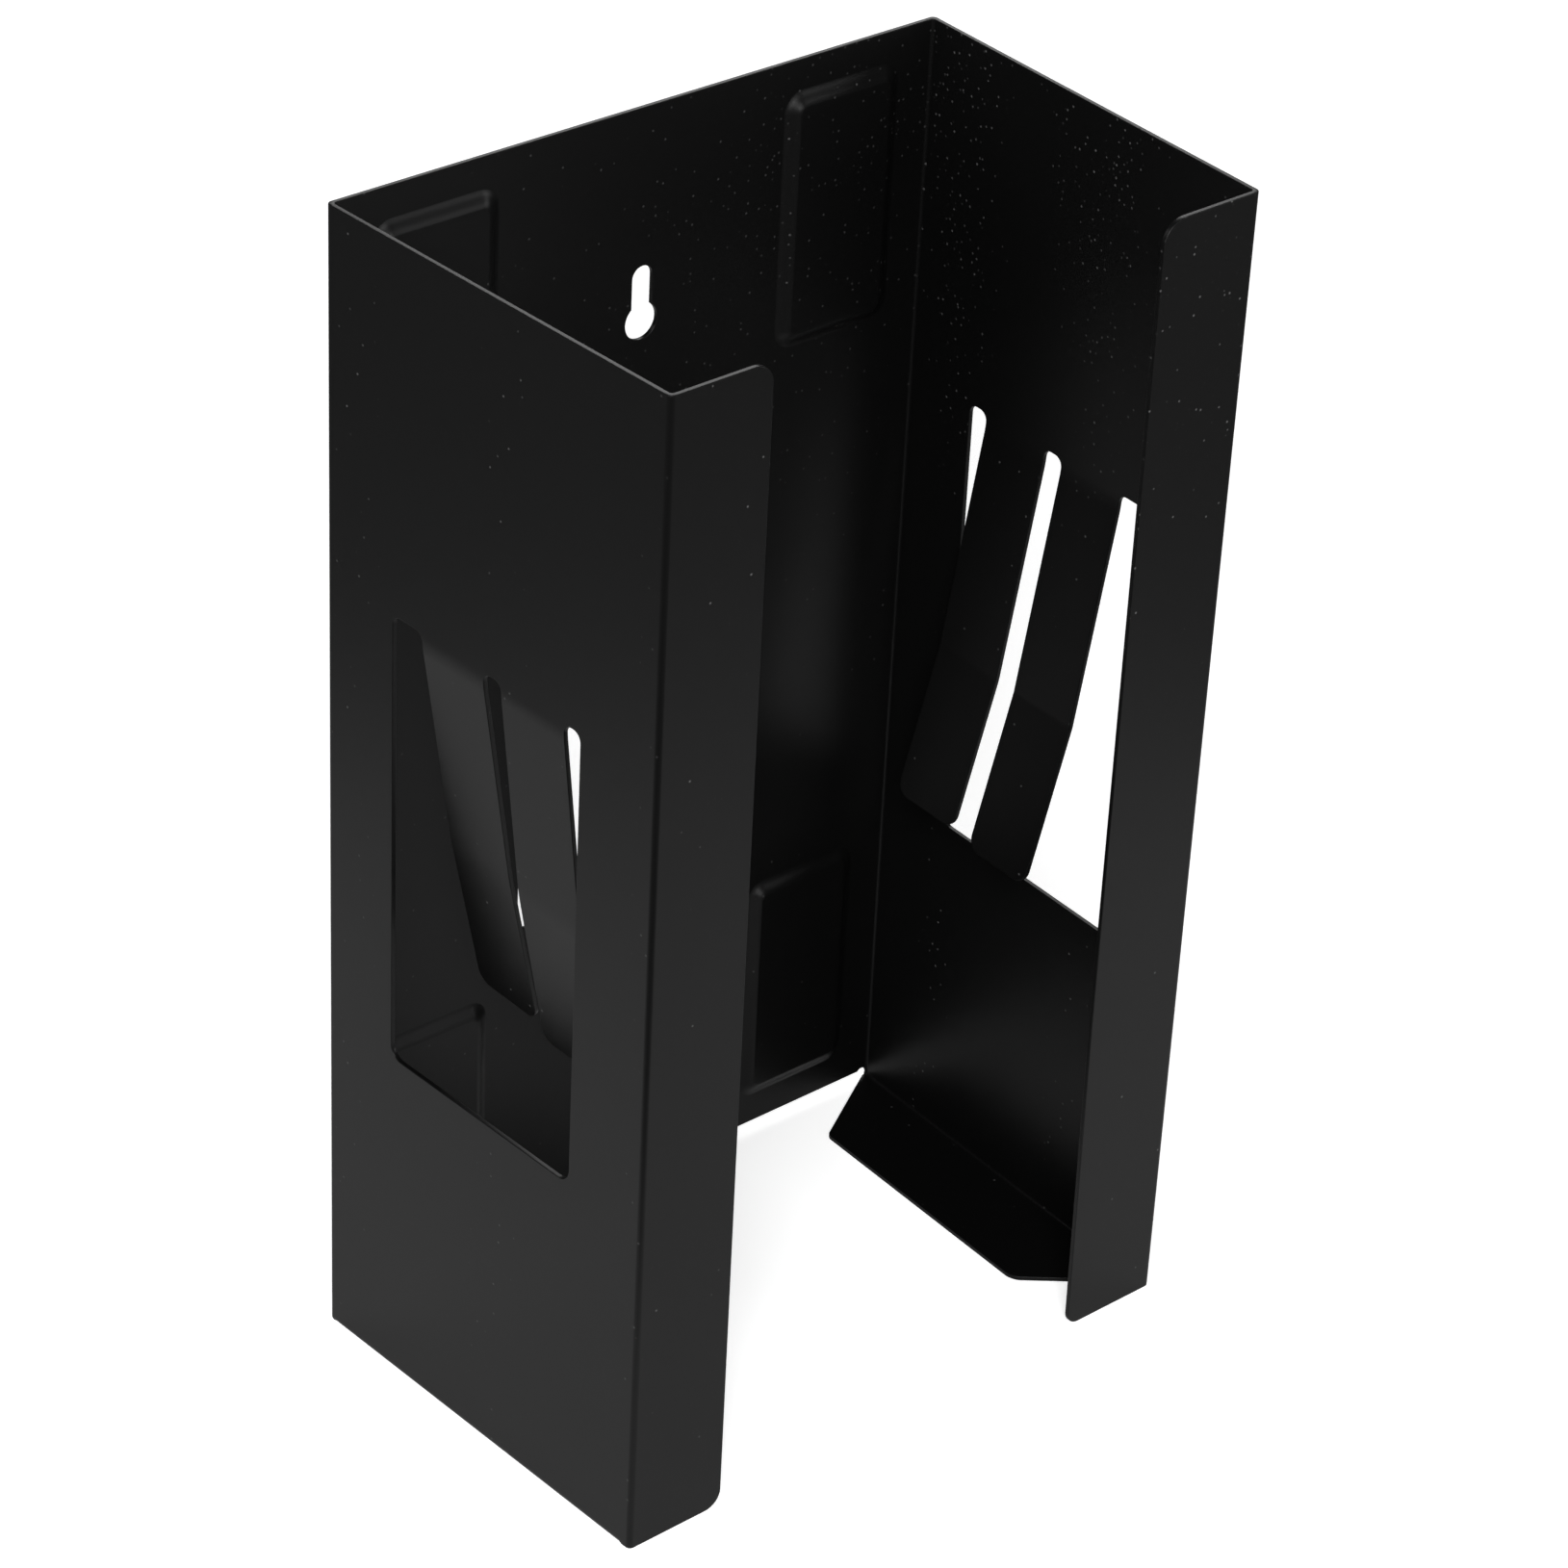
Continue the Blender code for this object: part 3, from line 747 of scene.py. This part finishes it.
def rayLift(tree, seen, mirrored, base=0.0):  # a strength that rises for seen rays and for mirrored ones
    rays = addNode(tree, "ShaderNodeLightPath")
    mirror = mathOf(tree, "MAXIMUM", rays.outputs["Is Glossy Ray"], rays.outputs["Is Transmission Ray"])
    part = mathOf(tree, "MULTIPLY_ADD", mirror, mirrored, base)
    return mathOf(tree, "MULTIPLY_ADD", rays.outputs["Is Camera Ray"], seen, part)


def backgroundMaterial(name, colour, lift):
    # Matte and lit by the lamps. What it adds for seen and mirrored rays makes it white, with its shadow
    finish = newMaterial(name)
    tree = finish.node_tree
    output = addNode(tree, "ShaderNodeOutputMaterial")
    paper = addNode(tree, "ShaderNodeBsdfDiffuse", {"Color": hexColour(colour)})
    glow = addNode(tree, "ShaderNodeEmission", links={"Strength": rayLift(tree, *lift)})
    both = addNode(tree, "ShaderNodeAddShader", links={0: paper.outputs[0], 1: glow.outputs[0]})
    tree.links.new(both.outputs[0], output.inputs["Surface"])
    return finish


def addPaper():  # a roll of paper that runs away from the camera and curves up behind
    work = bmesh.new()
    front, bend, halfWidth = studio["paperFront"], studio["paperBend"], studio["paperWidth"] / 2
    start = work.edges.new([work.verts.new((front, side * halfWidth, 0)) for side in (-1, 1)])
    rows = bmesh.ops.extrude_edge_only(work, edges=[start])["geom"]
    verts = [item for item in rows if isinstance(item, bmesh.types.BMVert)]
    bmesh.ops.translate(work, verts=verts, vec=(bend - front, 0, 0))
    edges = [
        item for item in rows
        if isinstance(item, bmesh.types.BMEdge) and all(vert in verts for vert in item.verts)
    ]
    bmesh.ops.spin(
        work, geom=edges + verts, cent=(bend, 0, studio["paperRadius"]), axis=(0, -1, 0), dvec=(0, 0, 0),
        angle=math.radians(studio["paperRise"]), steps=studio["paperSteps"], use_merge=False,
    )
    bmesh.ops.recalc_face_normals(work, faces=work.faces)
    bmesh.ops.transform(work, matrix=studioTurn, verts=work.verts)
    finish = backgroundMaterial("whitePaper", studio["paper"], studio["paperLift"])
    addMesh("paperSweep", work, finish, True)


def addTable():  # a wide mid-grey table just under the paper; its grey is painted shade that makes the floor beyond the paper dark in reflections, and its lift makes it white for seen rays
    work = bmesh.new()
    front, reach = studio["paperFront"], studio["tableReach"]
    corners = ((front, -reach), (reach, -reach), (reach, reach), (front, reach))
    work.faces.new([work.verts.new((x, y, studio["tableLevel"])) for x, y in corners])
    bmesh.ops.transform(work, matrix=studioTurn, verts=work.verts)
    finish = backgroundMaterial("greyShadeTableTop", studio["table"], studio["tableLift"])
    addMesh("greyShadeTable", work, finish, False)


def addLamps():
    for name, azimuth, elevation, power in lamps:
        data = bpy.data.lights.new(name, "AREA")
        data.shape = "SQUARE"
        data.size = studio["lampSize"]
        data.energy = power
        lamp = bpy.data.objects.new(name, data)
        bpy.context.scene.collection.objects.link(lamp)
        flat = studio["lampDistance"] * math.cos(math.radians(elevation))
        rise = studio["lampDistance"] * math.sin(math.radians(elevation))
        around = math.radians(azimuth)
        target = Vector((0, 0, studio["lampAim"]))
        spot = studioTurn @ (target + Vector((flat * math.cos(around), -flat * math.sin(around), rise)))
        aim = target - spot
        lamp.matrix_world = Matrix.Translation(spot) @ aim.to_track_quat("-Z", "Y").to_matrix().to_4x4()
        lamp.visible_camera = False


def addWorld():
    world = bpy.data.worlds.new("studioAir")
    bpy.context.scene.world = world
    world.use_nodes = True
    tree = world.node_tree
    tree.nodes.clear()
    output = addNode(tree, "ShaderNodeOutputWorld")
    base, seen, mirrored = studio["airStrength"]
    air = addNode(
        tree, "ShaderNodeBackground", {"Color": hexColour("#ffffff")},
        {"Strength": rayLift(tree, seen, mirrored, base)},
    )
    tree.links.new(air.outputs[0], output.inputs["Surface"])


addPaper()
addTable()
addLamps()
addWorld()
bpy.context.scene.view_settings.view_transform = "Standard"
print("Studio ready")
